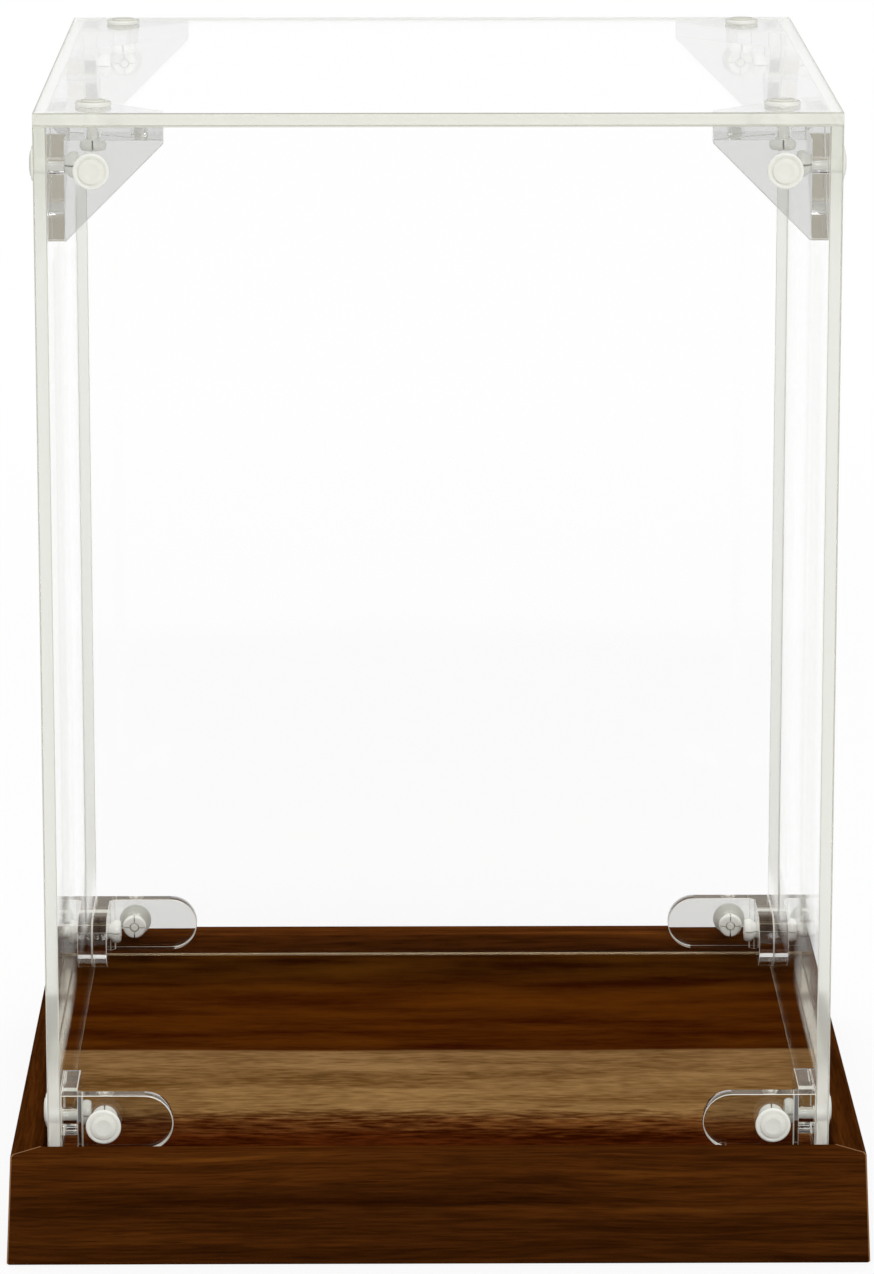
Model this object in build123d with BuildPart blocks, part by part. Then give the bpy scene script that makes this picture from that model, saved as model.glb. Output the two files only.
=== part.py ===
"""Clear acrylic display case: a riveted five-sheet cover that stands in a mitred wooden tray base.

Millimetres. +Z is up, the front faces -Y, and the origin is the middle of the base's underside.
"""

import os

from build123d import *

# Clear space inside the acrylic cover, from the tray floor up
inner_width = 150.0
inner_depth = 150.0
inner_height = 207.5

# Acrylic sheets. touch_gap is the air left between pieces that are only laid or pushed together.
sheet_thickness = 2.5
sheet_edge_break = 0.2
touch_gap = 0.03

# Three-way mouldings in the upper corners
connector_leg = 22.4
connector_wall = 3.2
connector_tip = 3.6
connector_hole_inset = 8.6

# Two-way angle brackets in the lower corners
bracket_arm = 22.4
bracket_wall = 3.2
bracket_height = 11.5
bracket_hole_inset = 8.6
bracket_lift = 2.45
bracket_root_break = 1.0

# Nylon push rivets: a flanged sleeve with split legs, and the pin that spreads them.
# Twenty of each repeat, so their small sections are drawn with few sides.
rivet_hole_play = 0.1
sleeve_barrel_radius = 1.55
sleeve_bore = 1.8
barrel_sides = 8
flange_radius = 3.5
flange_sides = 20
flange_thickness = 1.2
tail_length = 2.6
tail_radius = 2.65
leg_slot_width = 0.7
pin_play = 0.05
pin_head_radius = 2.4
pin_head_sides = 12
pin_head_height = 0.7

# Wooden tray base
base_height = 22.5
recess_depth = 4.5
cover_clearance = 1.0
rim_width = 6.0
foot_flare = 1.0
panel_thickness = 5.0
panel_groove = 3.0
panel_play = 0.4
rail_edge_break = 0.4

# Where the pieces stand
tray_floor = base_height - recess_depth
sheet_foot = tray_floor + touch_gap
cover_ceiling = tray_floor + inner_height
outer_width = inner_width + 2 * sheet_thickness
outer_depth = inner_depth + 2 * sheet_thickness
recess_width = outer_width + 2 * cover_clearance
recess_length = outer_depth + 2 * cover_clearance
bracket_level = sheet_foot + bracket_lift + bracket_height / 2
connector_hole_reach = touch_gap + connector_hole_inset
connector_hole_level = cover_ceiling - connector_hole_reach
bracket_hole_reach = touch_gap + bracket_hole_inset
rivet_hole_radius = sleeve_barrel_radius + rivet_hole_play

# The four inner corners of the cover, each with its two walls along the plane's x and y
half_x = inner_width / 2
half_y = inner_depth / 2
corners = {
    "front_left": Plane((-half_x, -half_y, 0), x_dir=(1, 0, 0), z_dir=(0, 0, 1)),
    "front_right": Plane((half_x, -half_y, 0), x_dir=(0, 1, 0), z_dir=(0, 0, 1)),
    "back_right": Plane((half_x, half_y, 0), x_dir=(-1, 0, 0), z_dir=(0, 0, 1)),
    "back_left": Plane((-half_x, half_y, 0), x_dir=(0, -1, 0), z_dir=(0, 0, 1)),
}

os.makedirs("parts", exist_ok=True)


def save(piece, name):
    """Label one finished piece and write it as its own file."""
    piece.part.label = name
    export_step(piece.part, f"parts/{name}.step")


def place(master, name, *spots):
    """Write one node that holds the master piece at each of the spots."""
    with BuildPart() as piece:
        with Locations(*spots):
            add(master.part)
    save(piece, name)


def make_rail(inner_length, inner_distance):
    """Front rail of a mitred frame: grooved for the floor panel, its outer face flaring to the foot."""
    inner_face = -inner_distance
    groove_bed = inner_face - panel_groove
    outer_top = inner_face - rim_width
    outer_foot = outer_top - foot_flare
    with BuildPart() as rail:
        with BuildSketch(Plane.YZ):
            with BuildLine():
                Polyline(
                    (outer_foot, 0),
                    (outer_top, base_height),
                    (inner_face, base_height),
                    (inner_face, sheet_foot),
                    (groove_bed, sheet_foot),
                    (groove_bed, tray_floor - panel_thickness - touch_gap),
                    (inner_face, tray_floor - panel_thickness - touch_gap),
                    (inner_face, 0),
                    close=True,
                )
            make_face()
        extrude(amount=inner_length / 2 + rim_width + foot_flare, both=True)
        long_edges = rail.edges().filter_by(Axis.X)
        top_edges = long_edges.group_by(Axis.Z)[-1]
        foot_edges = long_edges.group_by(Axis.Z)[0]
        chamfer(top_edges + foot_edges, rail_edge_break)
        for side in (-1, 1):
            mitre = Plane((side * inner_length / 2, inner_face, 0), z_dir=(-side, -1, 0))
            split(bisect_by=mitre.offset(touch_gap / 2), keep=Keep.TOP)
    return rail


def make_sheet(outer_face, width, height, hole_spots):
    """Flat sheet behind its outer face, with broken edges and a rivet hole at each spot."""
    with BuildPart() as sheet:
        with BuildSketch(outer_face):
            Rectangle(width, height)
            with Locations(*hole_spots):
                Circle(rivet_hole_radius, mode=Mode.SUBTRACT)
        extrude(amount=-sheet_thickness)
        broad_faces = sheet.faces().sort_by(SortBy.AREA)[-2:]
        outline = broad_faces.edges().filter_by(GeomType.LINE)
        chamfer(outline, sheet_edge_break)
    return sheet


def make_corner_connector():
    """Three triangular plates at right angles, moulded in one around the corner below the top sheet."""
    with BuildPart() as connector:
        for across, inward in ((Axis.Y, -Axis.Z), (Axis.X, Axis.Y), (-Axis.Z, Axis.X)):
            wall = Plane((0, 0, 0), x_dir=across.direction, z_dir=inward.direction)
            with BuildSketch(wall):
                with BuildLine():
                    Polyline(
                        (0, 0),
                        (connector_leg, 0),
                        (connector_leg, connector_tip),
                        (connector_tip, connector_leg),
                        (0, connector_leg),
                        close=True,
                    )
                make_face()
                with Locations((connector_hole_inset, connector_hole_inset)):
                    Circle(rivet_hole_radius, mode=Mode.SUBTRACT)
            extrude(amount=connector_wall)
    return connector


def make_corner_bracket():
    """Angle bracket with two round-ended arms, level with its rivet holes."""
    end_radius = bracket_height / 2
    straight = bracket_arm - end_radius
    with BuildPart() as bracket:
        for across, inward in ((Axis.X, Axis.Y), (Axis.Y, Axis.X)):
            wall = Plane((0, 0, 0), x_dir=across.direction, z_dir=inward.direction)
            with BuildSketch(wall):
                with BuildLine():
                    Polyline(
                        (straight, -end_radius),
                        (0, -end_radius),
                        (0, end_radius),
                        (straight, end_radius),
                    )
                    ThreePointArc((straight, end_radius), (bracket_arm, 0), (straight, -end_radius))
                make_face()
                with Locations((bracket_hole_inset, 0)):
                    Circle(rivet_hole_radius, mode=Mode.SUBTRACT)
            extrude(amount=bracket_wall)
        inner_corner = (bracket_wall, bracket_wall, 0)
        root = bracket.edges().filter_by(Axis.Z).sort_by_distance(inner_corner)[0]
        chamfer(root, bracket_root_break)
    return bracket


def make_rivet_sleeve(grip):
    """Flanged sleeve for a stack of the given thickness, its far end split into four spread legs."""
    tail_root = -grip - touch_gap
    tail_end = tail_root - tail_length
    with BuildPart() as sleeve:
        with BuildSketch(Plane.XY.offset(touch_gap)):
            RegularPolygon(flange_radius, flange_sides)
        extrude(amount=flange_thickness)
        with BuildSketch(Plane.XY.offset(touch_gap)):
            RegularPolygon(sleeve_barrel_radius, barrel_sides, rotation=180 / barrel_sides)
        extrude(amount=tail_root - touch_gap)
        with BuildSketch(Plane.XY.offset(tail_root)):
            RegularPolygon(sleeve_barrel_radius, barrel_sides, rotation=180 / barrel_sides)
        with BuildSketch(Plane.XY.offset(tail_end)):
            RegularPolygon(tail_radius, barrel_sides, rotation=180 / barrel_sides)
        loft()
        with BuildSketch(Plane.XY.offset(tail_end)):
            Rectangle(leg_slot_width, 2 * tail_radius)
            Rectangle(2 * tail_radius, leg_slot_width)
        extrude(amount=tail_length, mode=Mode.SUBTRACT)
        with BuildSketch(Plane.XY.offset(tail_end)):
            Rectangle(sleeve_bore, sleeve_bore)
        extrude(until=Until.LAST, mode=Mode.SUBTRACT)
    return sleeve


def make_rivet_pin(grip):
    """Square pin pushed down the sleeve's bore until its round head lies on the flange."""
    seat = flange_thickness + 2 * touch_gap
    with BuildPart() as pin:
        with BuildSketch(Plane.XY.offset(seat)):
            RegularPolygon(pin_head_radius, pin_head_sides)
        extrude(amount=pin_head_height)
        with BuildSketch(Plane.XY.offset(seat)):
            Rectangle(sleeve_bore - 2 * pin_play, sleeve_bore - 2 * pin_play)
        extrude(amount=-seat - grip - touch_gap - tail_length)
    return pin


def wall_seats(corner, reach, level):
    """Rivet seats on the outer faces of the two sheets that meet at a corner."""
    on_first = Plane((reach, -sheet_thickness, level), z_dir=(0, -1, 0))
    on_second = Plane((-sheet_thickness, reach, level), z_dir=(-1, 0, 0))
    return [corner.location * on_first.location, corner.location * on_second.location]


# Each rail and wall is made facing the front and turned into place.
# Tray base: four mitred rails round a floor panel that lies in their grooves
for side, inner_length, inner_distance, turn in (
    ("front", recess_width, recess_length / 2, 0),
    ("right", recess_length, recess_width / 2, 90),
    ("back", recess_width, recess_length / 2, 180),
    ("left", recess_length, recess_width / 2, 270),
):
    rail = make_rail(inner_length, inner_distance)
    place(rail, f"base_{side}_rail", Location((0, 0, 0), (0, 0, turn)))

panel_margin = 2 * (panel_groove - panel_play)
with BuildPart() as floor_panel:
    with BuildSketch(Plane.XY.offset(tray_floor)):
        Rectangle(recess_width + panel_margin, recess_length + panel_margin)
    extrude(amount=-panel_thickness)
save(floor_panel, "base_floor_panel")

# Cover walls: the front and back span the full width, and the sides stand between them
wall_top = cover_ceiling - touch_gap
wall_middle = (sheet_foot + wall_top) / 2
for side, width, inner_span, outer_distance, turn in (
    ("front", outer_width, inner_width, outer_depth / 2, 0),
    ("right", inner_depth - 2 * touch_gap, inner_depth, outer_width / 2, 90),
    ("back", outer_width, inner_width, outer_depth / 2, 180),
    ("left", inner_depth - 2 * touch_gap, inner_depth, outer_width / 2, 270),
):
    outer_face = Plane((0, -outer_distance, wall_middle), x_dir=(1, 0, 0), z_dir=(0, -1, 0))
    upper_reach = inner_span / 2 - connector_hole_reach
    lower_reach = inner_span / 2 - bracket_hole_reach
    hole_spots = [
        (-upper_reach, connector_hole_level - wall_middle),
        (upper_reach, connector_hole_level - wall_middle),
        (-lower_reach, bracket_level - wall_middle),
        (lower_reach, bracket_level - wall_middle),
    ]
    sheet = make_sheet(outer_face, width, wall_top - sheet_foot, hole_spots)
    place(sheet, f"{side}_sheet", Location((0, 0, 0), (0, 0, turn)))

cover_top = cover_ceiling + sheet_thickness
top_hole_x = half_x - connector_hole_reach
top_hole_y = half_y - connector_hole_reach
top_holes = [(x, y) for x in (-top_hole_x, top_hole_x) for y in (-top_hole_y, top_hole_y)]
top_sheet = make_sheet(Plane.XY.offset(cover_top), outer_width, outer_depth, top_holes)
save(top_sheet, "top_sheet")

# Corner fittings
connector = make_corner_connector()
bracket = make_corner_bracket()
for corner_name, corner in corners.items():
    upper_corner = corner.location * Location((touch_gap, touch_gap, wall_top))
    lower_corner = corner.location * Location((touch_gap, touch_gap, bracket_level))
    place(connector, f"upper_{corner_name}_connector", upper_corner)
    place(bracket, f"lower_{corner_name}_bracket", lower_corner)

# Rivets through the sheets and fittings: two in each corner's walls, and one down through the top sheet
upper_seats = []
lower_seats = []
for corner in corners.values():
    upper_seats += wall_seats(corner, connector_hole_reach, connector_hole_level)
    upper_seats.append(corner.location * Location((connector_hole_reach, connector_hole_reach, cover_top)))
    lower_seats += wall_seats(corner, bracket_hole_reach, bracket_level)

connector_grip = sheet_thickness + touch_gap + connector_wall
bracket_grip = sheet_thickness + touch_gap + bracket_wall
place(make_rivet_sleeve(connector_grip), "upper_rivet_sleeves", *upper_seats)
place(make_rivet_pin(connector_grip), "upper_rivet_pins", *upper_seats)
place(make_rivet_sleeve(bracket_grip), "lower_rivet_sleeves", *lower_seats)
place(make_rivet_pin(bracket_grip), "lower_rivet_pins", *lower_seats)
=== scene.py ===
"""Clear display case: walnut tray base, riveted acrylic cover, and the plain studio they stand in."""

from math import asin, cos, pi, radians, sin, tau

import bmesh
import bpy
from mathutils import Matrix, Vector


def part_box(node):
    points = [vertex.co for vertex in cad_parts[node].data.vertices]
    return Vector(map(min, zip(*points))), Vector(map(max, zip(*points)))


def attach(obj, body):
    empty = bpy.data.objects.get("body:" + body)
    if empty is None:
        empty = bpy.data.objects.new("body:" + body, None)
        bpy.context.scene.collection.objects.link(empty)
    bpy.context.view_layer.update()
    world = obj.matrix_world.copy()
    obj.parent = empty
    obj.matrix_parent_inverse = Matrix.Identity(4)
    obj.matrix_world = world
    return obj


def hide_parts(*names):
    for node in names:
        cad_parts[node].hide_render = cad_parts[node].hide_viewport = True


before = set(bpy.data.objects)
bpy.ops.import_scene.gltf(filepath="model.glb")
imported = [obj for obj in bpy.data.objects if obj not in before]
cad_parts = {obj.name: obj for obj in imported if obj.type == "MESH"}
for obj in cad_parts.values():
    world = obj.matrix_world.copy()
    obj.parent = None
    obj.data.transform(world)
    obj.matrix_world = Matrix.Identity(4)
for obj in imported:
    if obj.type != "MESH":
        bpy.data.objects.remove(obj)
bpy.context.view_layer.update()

mm = 0.001


# ---------------------------------------------------------------------------
# Tray rails: four lengths of American walnut, planed, grooved for the floor
# panel, mitred and glued at the corners, then oiled to a dull finish. They
# stay as the frame has them, and take their grain along their own length.

rail_dark = "2b1102"
rail_brown = "3f1f07"
rail_red = "4b260a"
rail_light = "5f3610"
rail_colours = ((0.24, rail_dark), (0.43, rail_brown), (0.59, rail_red), (0.78, rail_light))
mitre_glue = "8c6746"
mitre_line = 0.28 * mm

# Painted shade and light: a rail's colour is scaled darker at its foot and lighter at its rim
rail_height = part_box("base_front_rail")[1].z
painted_light_foot_to_rim = (0.9, 1.14)

# How long and how wide one streak of each pattern is, and how far a streak wanders.
# Walnut's pores are 0.1 to 0.2 mm wide, too fine to show, so they are drawn wider.
rail_growth = (110 * mm, 2.8 * mm)
rail_fibre = (11 * mm, 0.5 * mm)
rail_pore = (5 * mm, 0.3 * mm)
rail_wave = (60 * mm, 16 * mm)
rail_wander = 1.6 * mm

# Where in its pattern the fibre or a pore starts and is deepest, and the share of colour left there
fibre_span = (0.35, 0.65)
fibre_shade = 0.56
rail_pore_span = (0.56, 0.7)
rail_pore_shade = 0.78

# The oiled surface roughens over this span of the pores' pattern, and is dented where they are open
oil_span = (0.45, 0.7)
oil_roughness = (0.5, 0.72)
pore_dent = 0.08 * mm
pore_strength = 0.35

# Each rail's grain direction, where along the board it was cut, and how light it is
along_x, along_y = 0, 1
rail_boards = (
    ("base_front_rail", along_x, 0.0, 1.14),
    ("base_back_rail", along_x, 0.4, 1.62),
    ("base_left_rail", along_y, 0.0, 1.1),
    ("base_right_rail", along_y, 0.4, 1.1),
)


def linear(code):
    """Linear colour of an sRGB hex value."""
    parts = [int(code[i : i + 2], 16) / 255 for i in (0, 2, 4)]
    return tuple(p / 12.92 if p <= 0.04045 else ((p + 0.055) / 1.055) ** 2.4 for p in parts) + (1.0,)


def add(tree, kind, sockets=None, stops=(), **settings):
    """One node, with its settings, its sockets' values or links, and a colour ramp's stops."""
    node = tree.nodes.new("ShaderNode" + kind)
    for name, value in settings.items():
        setattr(node, name, value)
    for name, value in (sockets or {}).items():
        if isinstance(value, bpy.types.NodeSocket):
            tree.links.new(value, node.inputs[name])
        else:
            node.inputs[name].default_value = value
    for i, (place, code) in enumerate(stops):
        elements = node.color_ramp.elements
        element = elements[i] if i < len(elements) else elements.new(1.0)
        element.position = place
        element.color = linear(code)
    return node


def new_material(name):
    """An empty material with its output node."""
    material = bpy.data.materials.new(name)
    material.use_nodes = True
    material.node_tree.nodes.clear()
    return material, material.node_tree, add(material.node_tree, "OutputMaterial")


def grain(tree, point, size, run, detail=4.0):
    """Noise drawn out along the grain: size is how long and how wide one streak is."""
    length, width = size
    stretch = [1 / width] * 3
    stretch[run] = 1 / length
    spot = add(tree, "Mapping", {"Vector": point, "Scale": stretch})
    noise = add(tree, "TexNoise", {"Vector": spot.outputs["Vector"], "Scale": 1.0, "Detail": detail})
    return noise.outputs["Fac"]


def waved(tree, point, size, run, depth):
    """The point moved gently across the grain, so that long streaks wander."""
    wave = grain(tree, point, size, run, 1.0)
    drift = add(tree, "MapRange", {"Value": wave, "To Min": -depth, "To Max": depth}).outputs["Result"]
    across = add(tree, "CombineXYZ", {"XYZ"[1 - run]: drift, "Z": drift}).outputs["Vector"]
    return add(tree, "VectorMath", {0: point, 1: across}, operation="ADD").outputs["Vector"]


def marked(tree, colour, by, span, shade):
    """The colour darkened to a share of itself where the pattern passes through the span."""
    start, end = span
    depth = {"Value": by, "From Min": start, "From Max": end, "To Min": 1.0, "To Max": shade}
    depth = add(tree, "MapRange", depth).outputs["Result"]
    return add(tree, "VectorMath", {0: colour, "Scale": depth}, operation="SCALE").outputs["Vector"]


def oiled_wood(tree, output, colour, pores):
    """Thin oil finish that sinks in: full colour with no shine, rougher and dented at the pores."""
    start, end = oil_span
    smooth, open_grain = oil_roughness
    rough = {"Value": pores, "From Min": start, "From Max": end, "To Min": smooth, "To Max": open_grain}
    dents = {"Strength": pore_strength, "Distance": pore_dent, "Height": pores}
    finish = {
        "Base Color": colour,
        "Roughness": add(tree, "MapRange", rough).outputs["Result"],
        "Specular IOR Level": 0.0,
        "Normal": add(tree, "Bump", dents, invert=True).outputs["Normal"],
    }
    wood = add(tree, "BsdfPrincipled", finish)
    tree.links.new(wood.outputs["BSDF"], output.inputs["Surface"])


def walnut_rail(name, run, start, tone):
    """Straight-grained oiled walnut: long streaks, fine fibre, open pores, glue in the mitres, and painted
    shade at the foot turning to painted light at the rim.
    """
    material, tree, output = new_material(name)
    point = add(tree, "TexCoord").outputs["Object"]
    place = add(tree, "SeparateXYZ", {"Vector": point}).outputs
    board = add(tree, "Mapping", {"Vector": point, "Location": (start, start, start)}).outputs["Vector"]
    wavy = waved(tree, board, rail_wave, run, rail_wander)
    growth = grain(tree, wavy, rail_growth, run)
    colour = add(tree, "ValToRGB", {"Fac": growth}, rail_colours).outputs["Color"]
    # Painted shade and light: the colour is scaled from darker at the foot to lighter at the rim
    foot, rim = painted_light_foot_to_rim
    painted_height_shade = {"Value": place["Z"], "From Max": rail_height, "To Min": foot * tone, "To Max": rim * tone}
    painted_height_shade = add(tree, "MapRange", painted_height_shade).outputs["Result"]
    colour = add(tree, "VectorMath", {0: colour, "Scale": painted_height_shade}, operation="SCALE").outputs["Vector"]
    colour = marked(tree, colour, grain(tree, wavy, rail_fibre, run), fibre_span, fibre_shade)
    pores = grain(tree, wavy, rail_pore, run, 2.0)
    colour = marked(tree, colour, pores, rail_pore_span, rail_pore_shade)
    far_x = add(tree, "Math", {0: place["X"]}, operation="ABSOLUTE").outputs[0]
    far_y = add(tree, "Math", {0: place["Y"]}, operation="ABSOLUTE").outputs[0]
    gap = add(tree, "Math", {0: far_x, 1: far_y}, operation="SUBTRACT").outputs[0]
    at_mitre = add(tree, "Math", {0: gap, 1: 0.0, 2: mitre_line}, operation="COMPARE").outputs[0]
    glued = add(tree, "Mix", {"Factor": at_mitre, "A": colour, "B": linear(mitre_glue)}, data_type="RGBA")
    oiled_wood(tree, output, glued.outputs["Result"], pores)
    return material


def finish_with(material, *names):
    """Give frame nodes their material."""
    for name in names:
        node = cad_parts[name]
        node.data.materials.clear()
        node.data.materials.append(material)


for rail, run, start, tone in rail_boards:
    finish_with(walnut_rail(f"oiled_walnut_{rail}", run, start, tone), rail)


# ---------------------------------------------------------------------------
# Floor panel: a walnut-veneered board lying in the rails' grooves, its grain
# from side to side. The leaf of veneer is red-brown at the back, darkened by
# painted shade at its very back. It has a pale streak of sapwood across it, whose
# paleness is a painted reflection of the bright backdrop, and it turns mottled
# towards the front.

# Each wood's darker and lighter colour
front_heartwood = ("2b0b00", "51230a")
mixed_wood = ("421a04", "7a4d24")
# The pale band: its grain is wood figure, and its paleness is a painted reflection of the bright backdrop
sapwood_and_painted_reflection = ("664520", "a07a4b")
sapwood_back_and_painted_reflection = ("5e3f1d", "8e6b43")
red_heartwood = ("330f00", "562b05")
# The red heartwood darkened by painted shade, for the back of the leaf
heartwood_painted_shade = ("270c00", "492805")

# Where each wood lies, from the front of the leaf to its back, where painted shade darkens the heartwood
leaf_depth = 160 * mm
pale_end = 1.4 * mm
heart_start = 2.4 * mm
leaf_woods = (
    (-57 * mm, front_heartwood),
    (-47 * mm, mixed_wood),
    (-40 * mm, sapwood_and_painted_reflection),
    (-28 * mm, sapwood_and_painted_reflection),
    (pale_end, sapwood_back_and_painted_reflection),
    (heart_start, red_heartwood),
    (42 * mm, red_heartwood),
    (62 * mm, heartwood_painted_shade),
)

# How long and how wide one streak of each pattern is, and how far a streak wanders
leaf_growth = (110 * mm, 8 * mm)
leaf_cloud = (36 * mm, 9 * mm)
leaf_fibre = (4.5 * mm, 1.1 * mm)
leaf_mottle = (5.5 * mm, 1.6 * mm)
leaf_wave = (70 * mm, 22 * mm)
leaf_wander = 2.2 * mm
leaf_pore = (6 * mm, 0.35 * mm)
leaf_pore_span = (0.58, 0.72)
leaf_pore_shade = 0.8

# How far the bands' edges are ragged, in front of the first of these places and behind the second
ragged_reach = (-30 * mm, -18 * mm)
ragged_depth = (12 * mm, 1.6 * mm)

# How strongly each pattern shows. Cloud and fibre have one strength in the
# pale wood and one in the dark behind it, and the mottle comes in at the front.
growth_strength = 1.5
cloud_strength = (1.4, 2.2)
fibre_strength = (1.6, 0.7)
mottle_strength = 2.4
mottle_reach = (-34 * mm, -48 * mm)


def overlaid(tree, patterns):
    """Patterns laid over one another, each as strong as it is said to be, as one that is even at 0.5."""
    total = 0.5
    for pattern, strength in patterns:
        stray = add(tree, "Math", {0: pattern, 1: 0.5}, operation="SUBTRACT").outputs[0]
        total = add(tree, "Math", {0: stray, 1: strength, 2: total}, operation="MULTIPLY_ADD").outputs[0]
    return total


def pale_to_dark(tree, depth, strengths):
    """A pattern's strength in the pale wood and before it, changing to that in the dark wood behind."""
    pale, dark = strengths
    ends = {"Value": depth, "From Min": pale_end, "From Max": heart_start, "To Min": pale, "To Max": dark}
    return add(tree, "MapRange", ends).outputs["Result"]


def veneer_leaf():
    """Flat-cut oiled walnut veneer: flecked bands of dark heartwood and pale, ragged-edged sapwood. The
    pale band is partly a painted reflection, and the back is darkened by painted shade.
    """
    material, tree, output = new_material("oiled_walnut_veneer")
    point = add(tree, "TexCoord").outputs["Object"]
    wavy = waved(tree, point, leaf_wave, along_x, leaf_wander)
    fibre = grain(tree, wavy, leaf_fibre, along_x)
    mottle = grain(tree, wavy, leaf_mottle, along_x)
    depth = add(tree, "SeparateXYZ", {"Vector": wavy}).outputs["Y"]
    start, end = ragged_reach
    deep, shallow = ragged_depth
    ragged = {"Value": depth, "From Min": start, "From Max": end, "To Min": deep, "To Max": shallow}
    ragged = add(tree, "MapRange", ragged).outputs["Result"]
    stray = add(tree, "Math", {0: fibre, 1: 0.5}, operation="SUBTRACT").outputs[0]
    edge = add(tree, "Math", {0: stray, 1: ragged, 2: depth}, operation="MULTIPLY_ADD").outputs[0]
    behind = {"Value": edge, "From Min": -leaf_depth / 2, "From Max": leaf_depth / 2}
    behind = {"Fac": add(tree, "MapRange", behind).outputs["Result"]}
    dark_stops = [(0.5 + place / leaf_depth, wood[0]) for place, wood in leaf_woods]
    light_stops = [(0.5 + place / leaf_depth, wood[1]) for place, wood in leaf_woods]
    dark = add(tree, "ValToRGB", behind, dark_stops).outputs["Color"]
    light = add(tree, "ValToRGB", behind, light_stops).outputs["Color"]
    start, end = mottle_reach
    in_front = {"Value": depth, "From Min": start, "From Max": end, "To Max": mottle_strength}
    in_front = add(tree, "MapRange", in_front).outputs["Result"]
    patterns = [
        (grain(tree, wavy, leaf_growth, along_x, 2.0), growth_strength),
        (grain(tree, wavy, leaf_cloud, along_x, 3.0), pale_to_dark(tree, depth, cloud_strength)),
        (fibre, pale_to_dark(tree, depth, fibre_strength)),
        (mottle, in_front),
    ]
    figure = overlaid(tree, patterns)
    colour = add(tree, "Mix", {"Factor": figure, "A": dark, "B": light}, data_type="RGBA").outputs["Result"]
    pores = grain(tree, wavy, leaf_pore, along_x, 2.0)
    colour = marked(tree, colour, pores, leaf_pore_span, leaf_pore_shade)
    oiled_wood(tree, output, colour, pores)
    return material


finish_with(veneer_leaf(), "base_floor_panel")


# ---------------------------------------------------------------------------
# Cover sheets: five pieces of clear extruded acrylic, sawn to size, flame
# polished on the edges, and scraped along the arrises. They stand glue-free
# on the floor panel, and are riveted to the fittings in the corners.

acrylic_ior = 1.49
acrylic_shine = "959595"
acrylic_face = "ffffff"
acrylic_scraped = "d7d6ca"
acrylic_depth = "d9ddd2"
acrylic_density = 1.6

# Cut edges by where they are: level ones, upright ones, and all that is as low as the brackets
acrylic_edge = "f4f4ec"
upright_edge = "e7e8df"
low_edge = "fafaf4"

# A face that turns this far towards the sheet's own thickness is a scraped arris, or a broad face
scraped_turn = 0.3
face_turn = 0.9
face_roughness = 0.0
edge_roughness = 0.12
scraped_roughness = 0.4

# How clear a cut edge is, above and at its foot. The foot stands close on the wood. Its warm colour is
# painted light reflected from the wood, and it lets a little of the wood straight through.
edge_clearness = (0.42, 0.85)
scraped_clearness = (0.35, 0.75)
foot_height = 0.7 * mm
foot_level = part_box("front_sheet")[0].z + foot_height
painted_wood_light_at_foot = "f8e0b0"
foot_contact = 0.15

# A side sheet's face mirrors less towards its upright edges, between the fittings
corner_share = 0.8
corner_reach = (5 * mm, 35 * mm)
corner_fade = 6 * mm
off_fitting = 2 * mm
corner_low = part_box("lower_front_left_bracket")[1].z + off_fitting
corner_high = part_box("upper_front_left_connector")[0].z - off_fitting


def clear_plastic(tree, output, colour, sockets, density, bare=0.0):
    """Clear plastic that casts no shadow. Bare is the share of it that all rays pass straight through."""
    body = add(tree, "BsdfPrincipled", {"Base Color": colour, "Transmission Weight": 1.0} | sockets)
    gone = add(tree, "BsdfTransparent", {"Color": linear("ffffff")})
    light = add(tree, "LightPath").outputs
    passing = {0: light["Is Shadow Ray"], 1: light["Is Diffuse Ray"]}
    passing = add(tree, "Math", passing, operation="MAXIMUM").outputs[0]
    passing = add(tree, "Math", {0: passing, 1: bare}, operation="MAXIMUM").outputs[0]
    mix = add(tree, "MixShader", {0: passing, 1: body.outputs["BSDF"], 2: gone.outputs["BSDF"]})
    depth = add(tree, "VolumeAbsorption", {"Color": linear(acrylic_depth), "Density": density})
    tree.links.new(mix.outputs["Shader"], output.inputs["Surface"])
    tree.links.new(depth.outputs["Volume"], output.inputs["Volume"])


def by_cut(tree, cuts, face, edge, scraped, kind="FLOAT"):
    """A value or colour for broad faces, one for polished edges, and one for the arrises between them."""
    on_face, off_edge = cuts
    side = add(tree, "Mix", {"Factor": off_edge, "A": edge, "B": scraped}, data_type=kind).outputs["Result"]
    return add(tree, "Mix", {"Factor": on_face, "A": side, "B": face}, data_type=kind).outputs["Result"]


def at_corner(tree, place, on_face):
    """How much of its mirroring a side sheet's face gives up, most of all at the upright edges."""
    near, far = corner_reach
    out = add(tree, "Math", {0: place["Y"]}, operation="ABSOLUTE").outputs[0]
    share = {"Value": out, "From Min": near, "From Max": far, "To Max": corner_share}
    share = add(tree, "MapRange", share).outputs["Result"]
    share = add(tree, "Math", {0: share, 1: on_face}, operation="MULTIPLY").outputs[0]
    for start, end in ((corner_low, corner_low + corner_fade), (corner_high, corner_high - corner_fade)):
        between = {"Value": place["Z"], "From Min": start, "From Max": end}
        between = add(tree, "MapRange", between).outputs["Result"]
        share = add(tree, "Math", {0: share, 1: between}, operation="MULTIPLY").outputs[0]
    return share


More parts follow.
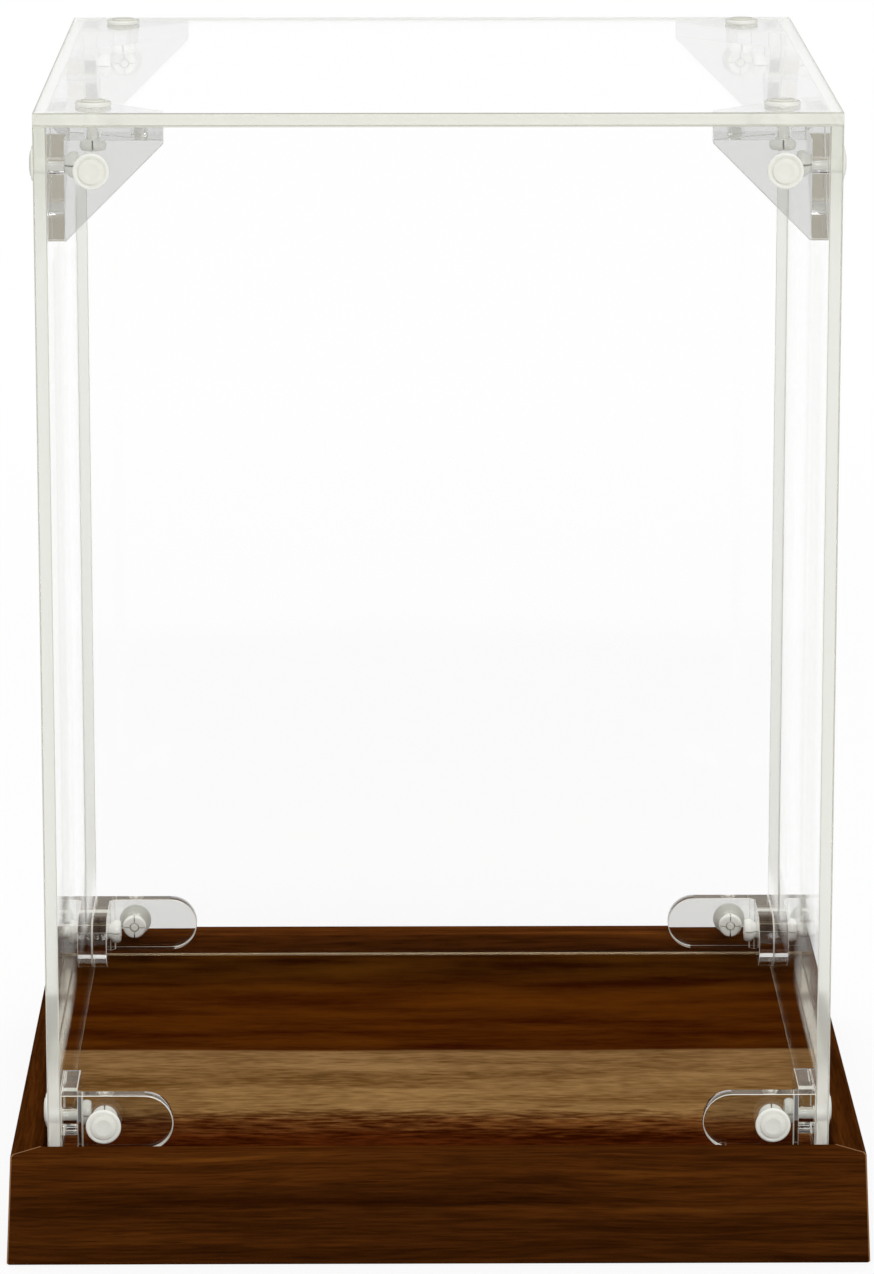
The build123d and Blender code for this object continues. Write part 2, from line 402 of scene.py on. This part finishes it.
def cut_acrylic(name, thickness_axis, edge):
    """Extruded acrylic: glass-clear faces, edges a little grey with their length, and frosted arrises."""
    material, tree, output = new_material(name)
    place = add(tree, "SeparateXYZ", {"Vector": add(tree, "TexCoord").outputs["Object"]}).outputs
    normal = add(tree, "NewGeometry").outputs["True Normal"]
    turn = add(tree, "SeparateXYZ", {"Vector": normal}).outputs[thickness_axis]
    turn = add(tree, "Math", {0: turn}, operation="ABSOLUTE").outputs[0]
    on_face = add(tree, "Math", {0: turn, 1: face_turn}, operation="GREATER_THAN").outputs[0]
    off_edge = add(tree, "Math", {0: turn, 1: scraped_turn}, operation="GREATER_THAN").outputs[0]
    cuts = (on_face, off_edge)
    low = {"Value": place["Z"], "From Min": corner_low + corner_fade, "From Max": corner_low}
    low = add(tree, "MapRange", low).outputs["Result"]
    edge = add(tree, "Mix", {"Factor": low, "A": linear(edge), "B": linear(low_edge)}, data_type="RGBA")
    edge = edge.outputs["Result"]
    colour = by_cut(tree, cuts, linear(acrylic_face), edge, linear(acrylic_scraped), "RGBA")
    at_foot = add(tree, "Math", {0: place["Z"], 1: foot_level}, operation="LESS_THAN").outputs[0]
    # The foot's warm colour is painted light, reflected from the wood it stands on
    colour = add(tree, "Mix", {"Factor": at_foot, "A": colour, "B": linear(painted_wood_light_at_foot)}, data_type="RGBA")
    above, below = edge_clearness
    milky = add(tree, "MapRange", {"Value": at_foot, "To Min": above, "To Max": below}).outputs["Result"]
    above, below = scraped_clearness
    frosty = add(tree, "MapRange", {"Value": at_foot, "To Min": above, "To Max": below}).outputs["Result"]
    finish = {
        "Roughness": by_cut(tree, cuts, face_roughness, edge_roughness, scraped_roughness),
        "Transmission Weight": by_cut(tree, cuts, 1.0, milky, frosty),
        "Specular Tint": linear(acrylic_shine),
        "IOR": acrylic_ior,
    }
    bare = add(tree, "Math", {0: at_foot, 1: foot_contact}, operation="MULTIPLY").outputs[0]
    if thickness_axis == "X":
        bare = {0: bare, 1: at_corner(tree, place, on_face)}
        bare = add(tree, "Math", bare, operation="MAXIMUM").outputs[0]
    clear_plastic(tree, output, colour.outputs["Result"], finish, acrylic_density, bare)
    return material


finish_with(cut_acrylic("clear_acrylic_front_and_back", "Y", acrylic_edge), "front_sheet", "back_sheet")
finish_with(cut_acrylic("clear_acrylic_sides", "X", upright_edge), "left_sheet", "right_sheet")
finish_with(cut_acrylic("clear_acrylic_top", "Z", acrylic_edge), "top_sheet")


# ---------------------------------------------------------------------------
# Corner fittings: three-way connectors above and angle brackets below, each
# moulded in one from clear polystyrene, grey beside the acrylic, with its
# edges rounded by the mould. Each stands for the frame's sharp-edged one.

moulding_ior = 1.59
connector_face = "dadad9"
connector_edge = "e2e2de"
bracket_face = "e4e4e2"
bracket_edge = "fffaee"
moulding_density = 3.0
edge_haze = 0.68
mould_ripple = 6 * mm
mould_roughness = 0.025

# The mould's rounding, and how sharp an edge has to be to get it
mould_radius = 0.35 * mm
mould_steps = 2
sharp_angle = radians(40)
flat_angle = radians(1)
weld_gap = 0.002 * mm

# The underside of a bracket, with what curves up from it at the arms' ends,
# shows the wood below it: all of it on the flat, and this share on the curve.
bracket_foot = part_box("lower_front_left_bracket")[0].z
flat_height = 0.05 * mm
heel_height = 3.2 * mm
heel_share = 0.85
heel_turn = -0.2
heel_sideways = 0.1

# Each level's fittings, with the colours of their faces and of their rounded edges
corner_names = ("front_left", "front_right", "back_right", "back_left")
fittings = (
    ("upper", "connector", connector_face, connector_edge),
    ("lower", "bracket", bracket_face, bracket_edge),
)


def clear_moulding(name, tint, haze):
    """Clear polystyrene with the faint ripple of the mould, milky where a rounded edge scatters light."""
    material, tree, output = new_material(name)
    point = add(tree, "TexCoord").outputs["Object"]
    ripple = {"Vector": point, "Scale": 1 / mould_ripple, "Detail": 1.0}
    ripple = add(tree, "TexNoise", ripple).outputs["Fac"]
    rough = {"Value": ripple, "To Min": haze / 4, "To Max": haze / 2 + mould_roughness}
    height = add(tree, "SeparateXYZ", {"Vector": point}).outputs["Z"]
    normal = add(tree, "SeparateXYZ", {"Vector": add(tree, "NewGeometry").outputs["True Normal"]}).outputs
    flat = {0: height, 1: bracket_foot + flat_height}
    flat = add(tree, "Math", flat, operation="LESS_THAN").outputs[0]
    heel = {0: height, 1: bracket_foot + heel_height}
    heel = add(tree, "Math", heel, operation="LESS_THAN").outputs[0]
    under = add(tree, "Math", {0: normal["Z"], 1: heel_turn}, operation="LESS_THAN").outputs[0]
    endwise = add(tree, "Math", {0: normal["X"], 1: 0.0, 2: heel_sideways}, operation="COMPARE").outputs[0]
    heel = add(tree, "Math", {0: heel, 1: under}, operation="MULTIPLY").outputs[0]
    heel = add(tree, "Math", {0: heel, 1: endwise}, operation="MULTIPLY").outputs[0]
    bare = {0: heel, 1: heel_share, 2: flat}
    bare = add(tree, "Math", bare, operation="MULTIPLY_ADD", use_clamp=True).outputs[0]
    finish = {
        "Roughness": add(tree, "MapRange", rough).outputs["Result"],
        "IOR": moulding_ior,
        "Transmission Weight": 1 - haze,
    }
    clear_plastic(tree, output, linear(tint), finish, moulding_density, bare)
    return material


def rounded_copy(name, source):
    """A frame node's shape as a new piece with its sharp edges rounded, in a second material."""
    shape = bmesh.new()
    shape.from_mesh(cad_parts[source].data)
    bmesh.ops.remove_doubles(shape, verts=shape.verts, dist=weld_gap)
    bmesh.ops.dissolve_limit(shape, angle_limit=flat_angle, verts=shape.verts, edges=shape.edges)
    mesh = bpy.data.meshes.new(name)
    shape.to_mesh(mesh)
    shape.free()
    piece = bpy.data.objects.new(name, mesh)
    bpy.context.scene.collection.objects.link(piece)
    bevel = piece.modifiers.new("moulded_edges", "BEVEL")
    bevel.width = mould_radius
    bevel.segments = mould_steps
    bevel.limit_method = "ANGLE"
    bevel.angle_limit = sharp_angle
    bevel.material = 1
    return piece


for level, form, face, edge in fittings:
    flat_polystyrene = clear_moulding(f"clear_polystyrene_{form}_face", face, 0.0)
    rounded_polystyrene = clear_moulding(f"clear_polystyrene_{form}_edge", edge, edge_haze)
    for corner in corner_names:
        node = f"{level}_{corner}_{form}"
        moulding = rounded_copy(f"{level}_{corner}_moulding", node)
        moulding.data.materials.append(flat_polystyrene)
        moulding.data.materials.append(rounded_polystyrene)
        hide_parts(node)
        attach(moulding, "cover")


# ---------------------------------------------------------------------------
# Push rivets: natural nylon, moulded in two parts. The flanged sleeve goes
# through sheet and fitting, and the round-headed pin is pushed down it to
# spread its four legs behind. Three hold each upper corner, two each lower.

sleeve_white = "fcfcf6"
pin_white = "f8f8f0"
nylon_cloud = "f6f6f2"
nylon_ior = 1.53
nylon_clearness = 0.05
nylon_roughness = (0.15, 0.3)
nylon_patch = 1.6 * mm

# Sleeve: flange, barrel and legs
seat_gap = 0.03 * mm
flange_radius = 3.5 * mm
flange_thickness = 0.85 * mm
flange_rounding = 0.36 * mm
flange_foot_rounding = 0.2 * mm
barrel_radius = 1.55 * mm
bore_radius = 0.95 * mm
sheet_and_fitting = 5.76 * mm
leg_length = 2.6 * mm
leg_slot = radians(8)

# A leg's outer side, from its root in the barrel to its end: how far out, and how far down the tail
leg_side = (
    (1.53 * mm, -0.2 * mm),
    (1.9 * mm, 0.35 * mm),
    (2.5 * mm, 1.0 * mm),
    (2.62 * mm, 1.5 * mm),
    (2.54 * mm, 2.1 * mm),
    (2.27 * mm, 2.5 * mm),
    (1.82 * mm, leg_length),
)
leg_inner_end = 1.05 * mm

# Pin: a shank with a pointed end, and a head that lies in a ring pressed in the flange
pin_radius = 0.88 * mm
pin_point = 0.3 * mm
head_radius = 2.4 * mm
head_height = 0.45 * mm
head_rim = 0.2 * mm
head_shoulder = 0.12 * mm
dish_radius = 1.6 * mm
dish_depth = 0.1 * mm
dish_slope = 0.2 * mm
bed_radius = 2.3 * mm
bed_depth = 0.02 * mm
ring_inner = 2.42 * mm
ring_outer = 2.54 * mm
ring_depth = 0.3 * mm

# How far the rivets stand from the fitting's inner faces, and how finely they are turned
rivet_inset = 8.63 * mm
turn_steps = 40
leg_steps = 8
crease_angle = radians(35)

# Points nearer than this gap are welded, and a rivet is fewer of these gaps across than this number
merge_gap = 0.001 * mm
gaps_across = 20000


def natural_nylon(name, white):
    """Milky unpigmented nylon: a little cloudy, barely clear, with a waxy shine from a polished mould."""
    material, tree, output = new_material(name)
    point = add(tree, "TexCoord").outputs["Object"]
    cloud = {"Vector": point, "Scale": 1 / nylon_patch, "Detail": 2.0}
    cloud = add(tree, "TexNoise", cloud).outputs["Fac"]
    waxy, dull = nylon_roughness
    rough = add(tree, "MapRange", {"Value": cloud, "To Min": waxy, "To Max": dull}).outputs["Result"]
    milk = {0: linear(white)[:3], 1: linear(nylon_cloud)[:3]}
    milk = add(tree, "VectorMath", milk, operation="MULTIPLY").outputs["Vector"]
    colour = add(tree, "Mix", {"Factor": cloud, "A": linear(white), "B": milk}, data_type="RGBA")
    finish = {
        "Base Color": colour.outputs["Result"],
        "Roughness": rough,
        "IOR": nylon_ior,
        "Transmission Weight": nylon_clearness,
    }
    nylon = add(tree, "BsdfPrincipled", finish)
    tree.links.new(nylon.outputs["BSDF"], output.inputs["Surface"])
    return material


def arc(centre, radius, start, end, steps):
    """Points round part of a circle in the r, z plane, in radians from the r axis."""
    r, z = centre
    turns = [start + (end - start) * i / steps for i in range(steps + 1)]
    return [(r + radius * cos(t), z + radius * sin(t)) for t in turns]


def lathe(shape, outline, sweep=tau, start=0.0, steps=turn_steps):
    """Spin an r, z outline round the z axis: a whole turn, or a wedge with its two ends left on."""
    spots = [shape.verts.new((r * cos(start), r * sin(start), z)) for r, z in outline]
    if sweep == tau:
        geometry = [shape.edges.new((a, b)) for a, b in zip(spots, spots[1:])]
    else:
        geometry = [shape.faces.new(spots)]
    bmesh.ops.spin(
        shape,
        geom=spots + geometry,
        cent=(0, 0, 0),
        axis=(0, 0, 1),
        dvec=(0, 0, 0),
        angle=sweep,
        steps=steps,
        use_merge=sweep == tau,
        use_duplicate=False,
    )


def sleeve_shape():
    """Flange, barrel and four spread legs, on the sheet's outer face with the tail going down."""
    shape = bmesh.new()
    foot = seat_gap
    top = seat_gap + flange_thickness
    tail = -sheet_and_fitting
    outer_edge = (flange_radius - flange_rounding, top - flange_rounding)
    lower_edge = (flange_radius - flange_foot_rounding, foot + flange_foot_rounding)
    outline = [(bore_radius, top - bed_depth), (bed_radius, top - bed_depth)]
    outline += [(ring_inner, top - ring_depth), (ring_outer, top - ring_depth)]
    outline += arc(outer_edge, flange_rounding, pi * 0.8, 0, 6)
    outline += arc(lower_edge, flange_foot_rounding, 0, -pi / 2, 2)
    outline += [(barrel_radius, foot), (barrel_radius, tail), (bore_radius, tail), outline[0]]
    lathe(shape, outline)
    leg = [(bore_radius, tail - leg_side[0][1])]
    leg += [(out, tail - down) for out, down in leg_side]
    leg += [(leg_inner_end, tail - leg_length)]
    for quarter in range(4):
        lathe(shape, leg, tau / 4 - leg_slot, quarter * tau / 4 + leg_slot / 2, leg_steps)
    return shape


def pin_shape():
    """Round pin with a low domed head lying on the flange, dished in the middle."""
    shape = bmesh.new()
    seat = flange_thickness + 2 * seat_gap
    tip = -sheet_and_fitting - leg_length
    crown = head_height - head_rim
    dome_radius = (head_radius**2 + crown**2) / (2 * crown)
    dome_centre = (0, seat + head_height - dome_radius)
    lip = asin(dish_radius / dome_radius)
    side = asin((head_radius - head_shoulder) / dome_radius)
    dome = arc(dome_centre, dome_radius, pi / 2 - lip, pi / 2 - side, 4)
    dish_floor = dome[0][1] - dish_depth
    outline = [(0, dish_floor), (dish_radius - dish_slope, dish_floor)]
    outline += dome + [(head_radius, seat + head_rim), (head_radius, seat), (pin_radius, seat)]
    outline += [(pin_radius, tip + pin_point), (pin_radius - pin_point, tip), (0, tip)]
    lathe(shape, outline)
    return shape


def rivet_seats(level_z, with_top):
    """Where each rivet's flange sits on the sheets: its place and the way it faces."""
    low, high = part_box("front_sheet")
    thickness = high.y - low.y
    half_width = high.x
    half_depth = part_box("back_sheet")[1].y
    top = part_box("top_sheet")[1].z
    seats = []
    for x in (-1, 1):
        for y in (-1, 1):
            reach_x = x * (half_width - thickness - rivet_inset)
            reach_y = y * (half_depth - thickness - rivet_inset)
            seats.append((Vector((reach_x, y * half_depth, level_z)), Vector((0, y, 0))))
            seats.append((Vector((x * half_width, reach_y, level_z)), Vector((x, 0, 0))))
            if with_top:
                seats.append((Vector((reach_x, reach_y, top)), Vector((0, 0, 1))))
    return seats


def by_place(face):
    """A face's place as one number. Spun faces come in any order, so they are sorted by it."""
    x, y, z = (round(c / merge_gap) for c in face.calc_center_median())
    return (x * gaps_across + y) * gaps_across + z


def rivet_piece(name, master, seats, node, material):
    """One piece holding the master shape at each of the seats."""
    mesh = bpy.data.meshes.new(name)
    bmesh.ops.remove_doubles(master, verts=master.verts, dist=merge_gap)
    bmesh.ops.recalc_face_normals(master, faces=master.faces)
    master.faces.sort(key=by_place)
    master.to_mesh(mesh)
    master.free()
    many = bmesh.new()
    for place, way in seats:
        turned = mesh.copy()
        turned.transform(Matrix.Translation(place) @ way.to_track_quat("Z", "Y").to_matrix().to_4x4())
        many.from_mesh(turned)
        bpy.data.meshes.remove(turned)
    many.to_mesh(mesh)
    many.free()
    mesh.materials.append(material)
    mesh.shade_smooth()
    mesh.set_sharp_from_angle(angle=crease_angle)
    piece = bpy.data.objects.new(name, mesh)
    bpy.context.scene.collection.objects.link(piece)
    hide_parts(node)
    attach(piece, "cover")


sleeve_nylon = natural_nylon("natural_nylon_sleeve", sleeve_white)
pin_nylon = natural_nylon("natural_nylon_pin", pin_white)
pins_low, pins_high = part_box("lower_rivet_pins")
bracket_level = (pins_low.z + pins_high.z) / 2
connector_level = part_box("upper_front_left_connector")[1].z - rivet_inset + seat_gap
for level, level_z, with_top in (("upper", connector_level, True), ("lower", bracket_level, False)):
    seats = rivet_seats(level_z, with_top)
    sleeves = f"{level}_push_rivet_sleeves"
    pins = f"{level}_push_rivet_pins"
    rivet_piece(sleeves, sleeve_shape(), seats, f"{level}_rivet_sleeves", sleeve_nylon)
    rivet_piece(pins, pin_shape(), seats, f"{level}_rivet_pins", pin_nylon)


# ---------------------------------------------------------------------------
# Studio: a plain pale floor in an even white room, a large soft lamp above
# and a softer one in front. Clear pieces mirror the room: white behind the
# case, greyer before it, cream overhead, with a dark cloth before the case.

room_light = 0.75
room_white = "ffffff"
dull_share = 0.12

# The paper, with the case's shadow on it, shows by this share near the case and fades away from it
floor_span = 6.0
floor_paper = "fbfbfb"
paper_share = 0.13
shadow_reach = (0.35, 0.9)

# Overhead the room is cream where it is mirrored, and grey where it is seen straight
room_ceiling = "e2dac8"
room_above = "6c6c6a"

# Directions: how far up the ceiling starts, and how far back the walls turn from grey to white
ceiling_edge = (0.2, 0.3)
wall_edge = (-0.3, 0.3)
wall_levels = (0.7, 1.0)

# The cloth ends this far from the case's middle, and where the case's rear half starts
cloth_reach = (0.31, 0.37)
cloth_levels = (0.02, 0.9)
cloth_back = (-0.08, 0.0)


def looked_at(tree, light):
    """1 for a ray that shows the room, straight or through clear pieces, and 0 for one that lights."""
    seen = {0: light["Is Camera Ray"], 1: light["Is Glossy Ray"]}
    seen = {0: add(tree, "Math", seen, operation="MAXIMUM").outputs[0], 1: light["Is Transmission Ray"]}
    seen = add(tree, "Math", seen, operation="MAXIMUM").outputs[0]
    first = add(tree, "Math", {0: light["Diffuse Depth"], 1: 0.5}, operation="LESS_THAN").outputs[0]
    return add(tree, "Math", {0: seen, 1: first}, operation="MULTIPLY").outputs[0]


def seen_straight(tree, light):
    """1 for what is seen directly or through clear plastic with no mirroring on the way, else 0."""
    return add(tree, "Math", {0: light["Glossy Depth"], 1: 0.5}, operation="LESS_THAN").outputs[0]


def backdrop(tree, light, plain, mirrored):
    """The room as light, 1 at most: plain where seen straight, and dim where a dull face mirrors it."""
    sharp = add(tree, "Math", {0: 1.0, 1: light["Is Singular Ray"]}, operation="SUBTRACT").outputs[0]
    dull = {0: sharp, 1: light["Is Reflection Ray"]}
    dull = add(tree, "Math", dull, operation="MULTIPLY").outputs[0]
    level = add(tree, "MapRange", {"Value": dull, "To Min": 1.0, "To Max": dull_share}).outputs["Result"]
    shown = add(tree, "VectorMath", {0: mirrored, "Scale": level}, operation="SCALE").outputs["Vector"]
    bright = {"Factor": seen_straight(tree, light), "A": shown, "B": plain}
    bright = add(tree, "Mix", bright, data_type="RGBA").outputs["Result"]
    return add(tree, "Emission", {"Color": bright}).outputs["Emission"]


def studio_world():
    """Even light for dull surfaces, and a room to look at and to be mirrored."""
    world = bpy.data.worlds.new("studio")
    world.use_nodes = True
    world.cycles.sampling_method = "NONE"
    tree = world.node_tree
    tree.nodes.clear()
    light = add(tree, "LightPath").outputs
    way = add(tree, "SeparateXYZ", {"Vector": add(tree, "TexCoord").outputs["Generated"]}).outputs
    start, end = wall_edge
    front, back = wall_levels
    walls = {"Value": way["Y"], "From Min": start, "From Max": end, "To Min": front, "To Max": back}
    walls = add(tree, "MapRange", walls, interpolation_type="SMOOTHSTEP").outputs["Result"]
    start, end = ceiling_edge
    overhead = {"Value": way["Z"], "From Min": start, "From Max": end}
    overhead = add(tree, "MapRange", overhead, interpolation_type="SMOOTHSTEP").outputs["Result"]
    room = {"Factor": overhead, "A": linear(room_white), "B": linear(room_ceiling)}
    room = add(tree, "Mix", room, data_type="RGBA").outputs["Result"]
    mirrored = add(tree, "VectorMath", {0: room, "Scale": walls}, operation="SCALE").outputs["Vector"]
    plain = {"Factor": overhead, "A": linear(room_white), "B": linear(room_above)}
    plain = add(tree, "Mix", plain, data_type="RGBA").outputs["Result"]
    even = add(tree, "Background", {"Strength": room_light}).outputs["Background"]
    seen = backdrop(tree, light, plain, mirrored)
    mix = add(tree, "MixShader", {0: looked_at(tree, light), 1: even, 2: seen})
    add(tree, "OutputWorld", {"Surface": mix.outputs["Shader"]})
    bpy.context.scene.world = world


def studio_floor():
    """White paper that keeps the case's shadow, and a dark cloth on it that only mirrored rays see."""
    shape = bmesh.new()
    bmesh.ops.create_grid(shape, x_segments=2, y_segments=2, size=floor_span)
    mesh = bpy.data.meshes.new("floor")
    shape.to_mesh(mesh)
    shape.free()
    floor = bpy.data.objects.new("floor", mesh)
    bpy.context.scene.collection.objects.link(floor)
    material, tree, output = new_material("white_paper")
    material.cycles.emission_sampling = "NONE"
    light = add(tree, "LightPath").outputs
    spot = add(tree, "NewGeometry").outputs["Position"]
    forward = add(tree, "SeparateXYZ", {"Vector": spot}).outputs["Y"]
    away = add(tree, "VectorMath", {0: spot}, operation="LENGTH").outputs["Value"]
    start, end = cloth_reach
    dark, pale = cloth_levels
    beyond = {"Value": away, "From Min": start, "From Max": end, "To Min": dark, "To Max": pale}
    beyond = add(tree, "MapRange", beyond, interpolation_type="SMOOTHSTEP").outputs["Result"]
    start, end = cloth_back
    behind = add(tree, "MapRange", {"Value": forward, "From Min": start, "From Max": end}).outputs["Result"]
    mirrored = add(tree, "Math", {0: beyond, 1: behind}, operation="MAXIMUM").outputs[0]
    paper = add(tree, "BsdfDiffuse", {"Color": linear(floor_paper)}).outputs["BSDF"]
    seen = backdrop(tree, light, linear(room_white), mirrored)
    start, end = shadow_reach
    fade = {"Value": away, "From Min": start, "From Max": end, "To Min": -paper_share, "To Max": 0.0}
    fade = add(tree, "MapRange", fade, interpolation_type="SMOOTHSTEP").outputs["Result"]
    kept = {0: seen_straight(tree, light), 1: fade, 2: 1.0}
    kept = add(tree, "Math", kept, operation="MULTIPLY_ADD").outputs[0]
    share = add(tree, "Math", {0: looked_at(tree, light), 1: kept}, operation="MULTIPLY").outputs[0]
    mix = add(tree, "MixShader", {0: share, 1: paper, 2: seen})
    tree.links.new(mix.outputs["Shader"], output.inputs["Surface"])
    mesh.materials.append(material)


def softbox(name, place, size, power, aim, mirrored):
    """A square soft lamp turned towards a point of the case, which clear pieces may or may not mirror."""
    lamp = bpy.data.lights.new(name, "AREA")
    lamp.size = size
    lamp.energy = power
    box = bpy.data.objects.new(name, lamp)
    box.location = place
    box.rotation_euler = (Vector(aim) - Vector(place)).to_track_quat("-Z", "Y").to_euler()
    box.visible_glossy = mirrored
    box.visible_transmission = mirrored
    bpy.context.scene.collection.objects.link(box)


studio_world()
studio_floor()
softbox("overhead_softbox", (-0.3, 0.25, 1.5), size=1.2, power=7.0, aim=(0, 0, 0.05), mirrored=False)
softbox("front_softbox", (0.6, -1.9, 1.3), size=1.0, power=14.0, aim=(0, 0, 0.1), mirrored=True)


# ---------------------------------------------------------------------------
# Camera: a long lens from above the case's lid, looking down on the tray.
# Light may bounce often, because it goes through many clear faces in a row.

image_height = 1274
focal_pixels = 5837
sensor_size = 36
camera_place = (-9.9 * mm, -1184.9 * mm, 376.8 * mm)
camera_down = radians(12.783)
camera_right = radians(0.498)

lens = bpy.data.cameras.new("camera")
lens.sensor_width = sensor_size
lens.lens = focal_pixels / image_height * sensor_size
camera = bpy.data.objects.new("camera", lens)
camera.location = camera_place
camera.rotation_euler = (pi / 2 - camera_down, 0, -camera_right)
bpy.context.scene.collection.objects.link(camera)
bpy.context.scene.camera = camera
bpy.context.scene.view_settings.view_transform = "Standard"
bpy.context.scene.cycles.max_bounces = 32
bpy.context.scene.cycles.transmission_bounces = 32
bpy.context.scene.cycles.glossy_bounces = 16
bpy.context.scene.cycles.transparent_max_bounces = 24
